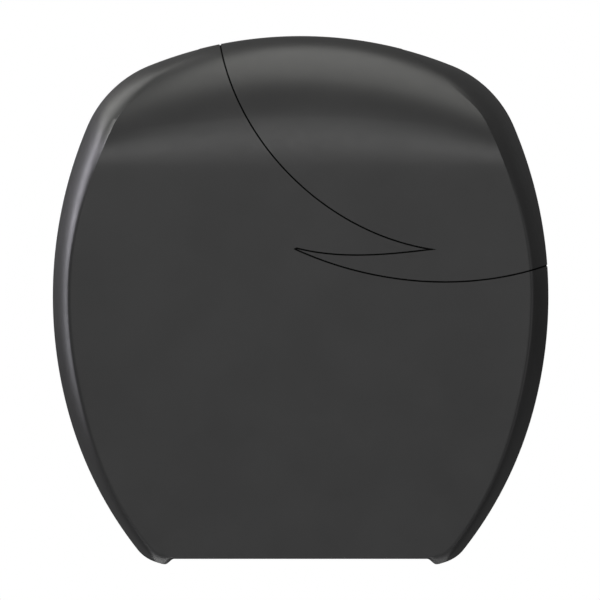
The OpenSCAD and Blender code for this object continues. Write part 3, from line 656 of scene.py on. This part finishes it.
def make_rail(hand):
    """The rail that a tear edge is screwed to, and the web that joins it to the foot."""
    low = min(hand * RAIL_X, hand * (RAIL_X + RAIL_W))
    rail = block((low, -TEAR_D[1], LIP_Z), (low + RAIL_W, -TEAR_D[0], RAIL_Z))
    soften(rail, 0.5)
    near = hand * (RAIL_X + WEB_INSET)
    low = min(near, near + hand * WEB_W)
    web = block((low, WEB_INSET - TEAR_D[1], SOLE_Z),
                (low + WEB_W, -TEAR_D[0] - WEB_INSET, LIP_Z + WEB_INSET))
    return rail, web


def make_cover():
    finishes = [cover_plastic, seam_shade_plastic]
    shell = skin_layer(0, WALL)
    paint(shell, finishes, 0)
    # The recess keeps the near-black, dull finish of its cutting tool, which shows only in the
    # seam. It is painted shade on the recess floor, standing in for the shadow of a deeper gap.
    recess, prism = skin_layer(-1, INLAY_T + INLAY_GAP), panel_prism(SEAM_GAP)
    paint(recess, finishes, 1)
    paint(prism, finishes, 1)
    combine(recess, prism, "INTERSECT")
    cut(shell, recess)
    heel = block((-BODY_W / 2, -HINGE_D, FOOT_Z - 2), (BODY_W / 2, 0, HINGE_Z))
    cut(heel, rod(HEEL_R, (-BODY_W, -HINGE_D, HINGE_Z), (BODY_W, -HINGE_D, HINGE_Z), 96))
    cut(shell, heel)
    cut(shell, lock_rod(LOCK_FLANGE_R + FLANGE_FIT, RECESS_Z, RECESS_Z + DRILL))
    cut(shell, lock_rod(HOUSING_R + HOUSING_FIT, RECESS_Z - DRILL, RECESS_Z + DRILL - 2))
    boss = lock_rod(LOCK_FLANGE_R + LOCK_BOSS_WALL, RECESS_Z - LOCK_BOSS_H,
                    TOP_Z - WALL + BOSS_BITE)
    cut(boss, lock_rod(HOUSING_R + HOUSING_FIT, RECESS_Z - DRILL + 1, RECESS_Z + DRILL - 2))
    parts = [shell, boss]
    for hand in (-1, 1):
        parts += [make_lug(hand), *make_rail(hand)]
    cover = join(*parts)
    return finish_piece(cover, "cover_moulding", "cover", None, "cover_plastic", "cover_shell")


def make_panel():
    panel = skin_layer(0, INLAY_T)
    combine(panel, panel_prism(0), "INTERSECT")
    cut(panel, lock_rod(LOCK_FLANGE_R + FLANGE_FIT, RECESS_Z - 1, RECESS_Z + DRILL - 1))
    pegs = []
    for x, z in PEG_PLACES:
        peg = rod(PEG_R, (x, -(BODY_D - WALL - PEG_L), z), (x, -(BODY_D - INLAY_T / 2), z), 24)
        soften(peg, 0.3)
        pegs.append(peg)
    panel = join(panel, *pegs)
    return finish_piece(panel, "inlaid_panel", "cover", cover_plastic, "panel_plastic",
                        "accent_panel")


make_cover()
make_panel()


# ---- Hardware: dressed copies of the CAD nodes, and screws with a cross recess ----

def merged_copy(name):
    """A copy of a CAD node as one welded mesh with whole flat faces."""
    copy = bpy.data.objects.new(name + "_copy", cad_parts[name].data.copy())
    scene.collection.objects.link(copy)
    pick(copy)
    bpy.ops.object.mode_set(mode="EDIT")
    bpy.ops.mesh.select_all(action="SELECT")
    bpy.ops.mesh.remove_doubles(threshold=0.000002)
    bpy.ops.mesh.dissolve_limited(angle_limit=math.radians(0.5))
    bpy.ops.object.mode_set(mode="OBJECT")
    return copy


# Below the turn at an edge's round, so that whole flat faces keep their even shade.
DRESS_ANGLE = 18


def dress(name, body, mat, slot, edge):
    """Replaces a rigid CAD node by a copy whose edges are broken by a small round."""
    copy = merged_copy(name)
    soften(copy, edge, 2, 35)
    return finish_piece(copy, name + "_finished", body, mat, slot, name, angle=DRESS_ANGLE)


def loose_parts(name):
    """The low and high corners, in mm, of each separate piece of a CAD node."""
    copy = merged_copy(name)
    bpy.ops.mesh.separate(type="LOOSE")
    found = []
    for part in list(bpy.context.selected_objects):
        places = [v.co / MM for v in part.data.vertices]
        found.append(([min(p[i] for p in places) for i in range(3)],
                      [max(p[i] for p in places) for i in range(3)]))
        bpy.data.objects.remove(part)
    return sorted(found)


# Shares of a screw's head: its round, the cross recess's arm and half width, and its floor.
HEAD_ROUND, CROSS_ARM, CROSS_HALF, CROSS_FLOOR = 0.38, 0.62, 0.15, 0.45


def screw(head_r, head_h, shank_r, shank_l):
    """A pan-head screw along Z, head up, with the underside of its head at the origin."""
    head = rod(head_r, (0, 0, 0), (0, 0, head_h), 40)
    soften(head, HEAD_ROUND * head_h, 4)
    arm, half, floor = CROSS_ARM * head_r, CROSS_HALF * head_r, CROSS_FLOOR * head_h
    cut(head, block((-arm, -half, floor), (arm, half, head_h + 1)))
    cut(head, block((-half, -arm, floor), (half, arm, head_h + 1)))
    return join(head, rod(shank_r, (0, 0, -shank_l), (0, 0, 0.4 * head_h), 24))


SCREW_TURNS = {"front": (math.pi / 2, 0, 0), "up": (0, 0, 0), "down": (math.pi, 0, 0)}


def drive_screws(name, body, head_h, shank_r, faces):
    """Puts a screw in the place of each one of a CAD node; its head faces the way named."""
    made = []
    for low, high in loose_parts(name):
        middle = [(a + b) / 2 for a, b in zip(low, high)]
        along = 1 if faces == "front" else 2
        if faces == "up":
            middle[along] = high[along] - head_h
        else:
            middle[along] = low[along] + head_h
        one = screw((high[0] - low[0]) / 2, head_h, shank_r, high[along] - low[along] - head_h)
        one.rotation_euler = SCREW_TURNS[faces]
        one.location = [MM * c for c in middle]
        settle(one)
        made.append(one)
    return finish_piece(join(*made), name + "_finished", body, zinc_plate, "plated_steel", name)


# CAD node, body, finish, material slot, and the width of its edges' round in mm.
DRESSED = (
    ("back_plate", "wall_unit", plate_plastic, "back_plate_plastic", 0.4),
    ("hinge_pin_left", "wall_unit", zinc_plate, "plated_steel", 0.3),
    ("hinge_pin_right", "wall_unit", zinc_plate, "plated_steel", 0.3),
    ("keeper_bracket", "wall_unit", zinc_plate, "plated_steel", 0.3),
    ("spindle_post", "wall_unit", zinc_plate, "plated_steel", 0.4),
    ("brake_spring", "wall_unit", spring_metal, "spring_steel", 0.15),
    ("retaining_washer", "wall_unit", zinc_plate, "plated_steel", 0.2),
    ("brake_disc", "roll_hub", plate_plastic, "back_plate_plastic", 0.5),
    ("hub_core", "roll_hub", hub_plastic, "hub_plastic", 0.3),
    ("hub_cap", "roll_hub", hub_plastic, "hub_plastic", 0.3),
    ("hub_bush_rear", "roll_hub", bush_plastic, "bush_plastic", 0.3),
    ("hub_bush_front", "roll_hub", bush_plastic, "bush_plastic", 0.3),
    ("panel_clips", "cover", spring_metal, "spring_steel", 0.2),
    ("tear_edge_left", "cover", tear_metal, "tear_edge_steel", 0.12),
    ("tear_edge_right", "cover", tear_metal, "tear_edge_steel", 0.12),
    ("lock_housing", "cover", lock_metal, "lock_metal", 0.2),
    ("lock_nut", "cover", lock_metal, "lock_metal", 0.4),
    ("lock_barrel", "lock", lock_metal, "lock_metal", 0.2),
    ("lock_cam", "lock", zinc_plate, "plated_steel", 0.2),
)
# CAD node, body, height of the head and radius of the shank in mm, and the way the head faces.
SCREWS = (
    ("keeper_screws", "wall_unit", 1.8, 1.6, "front"),
    ("spindle_screws", "wall_unit", 2.4, 1.9, "front"),
    ("brake_screw", "wall_unit", 1.8, 1.6, "front"),
    ("retaining_screw", "wall_unit", 2.8, 2.0, "front"),
    ("tear_edge_screws", "cover", 1.6, 1.4, "up"),
    ("cam_screw", "lock", 2.0, 1.5, "down"),
)
for row in DRESSED:
    dress(*row)
for row in SCREWS:
    drive_screws(*row)


# ---- Finishes of the CAD nodes, which the pieces above stand for ----

NODE_FINISHES = {row[0]: row[2] for row in DRESSED}
NODE_FINISHES.update(cover_shell=cover_plastic, accent_panel=cover_plastic)
for name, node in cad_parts.items():
    node.data.materials.clear()
    node.data.materials.append(NODE_FINISHES.get(name, zinc_plate))


# ---- Floor ----

FLOOR_Z = -1.1


def make_floor():
    """Pale to the camera, which looks through it from below, and dark to other rays."""
    drop_all()
    bpy.ops.mesh.primitive_plane_add(size=8, location=(0, 0, FLOOR_Z))
    floor = bpy.context.object
    floor.name = "floor"
    mat, shader = new_finish("pale_floor", 0.7)
    tree = mat.node_tree
    nodes, links = tree.nodes, tree.links
    tint = ramp(mat, speckle(mat, 300), 0.4, 0.6, (0.80, 0.80, 0.80), (0.82, 0.82, 0.82))
    camera_ray = nodes.new("ShaderNodeLightPath").outputs["Is Camera Ray"]
    pale = nodes.new("ShaderNodeMix")
    pale.data_type = "RGBA"
    pale.inputs["A"].default_value = (0.1, 0.1, 0.1, 1)
    links.new(camera_ray, pale.inputs["Factor"])
    links.new(tint.outputs["Color"], pale.inputs["B"])
    links.new(pale.outputs["Result"], shader.inputs["Base Color"])
    underside = nodes.new("ShaderNodeNewGeometry").outputs["Backfacing"]
    clear = nodes.new("ShaderNodeBsdfTransparent")
    seen = mixed(tree, worked_out(tree, "MULTIPLY", underside, camera_ray),
                 shader.outputs[0], clear.outputs[0])
    links.new(seen, nodes["Material Output"].inputs["Surface"])
    floor.data.materials.append(mat)


make_floor()
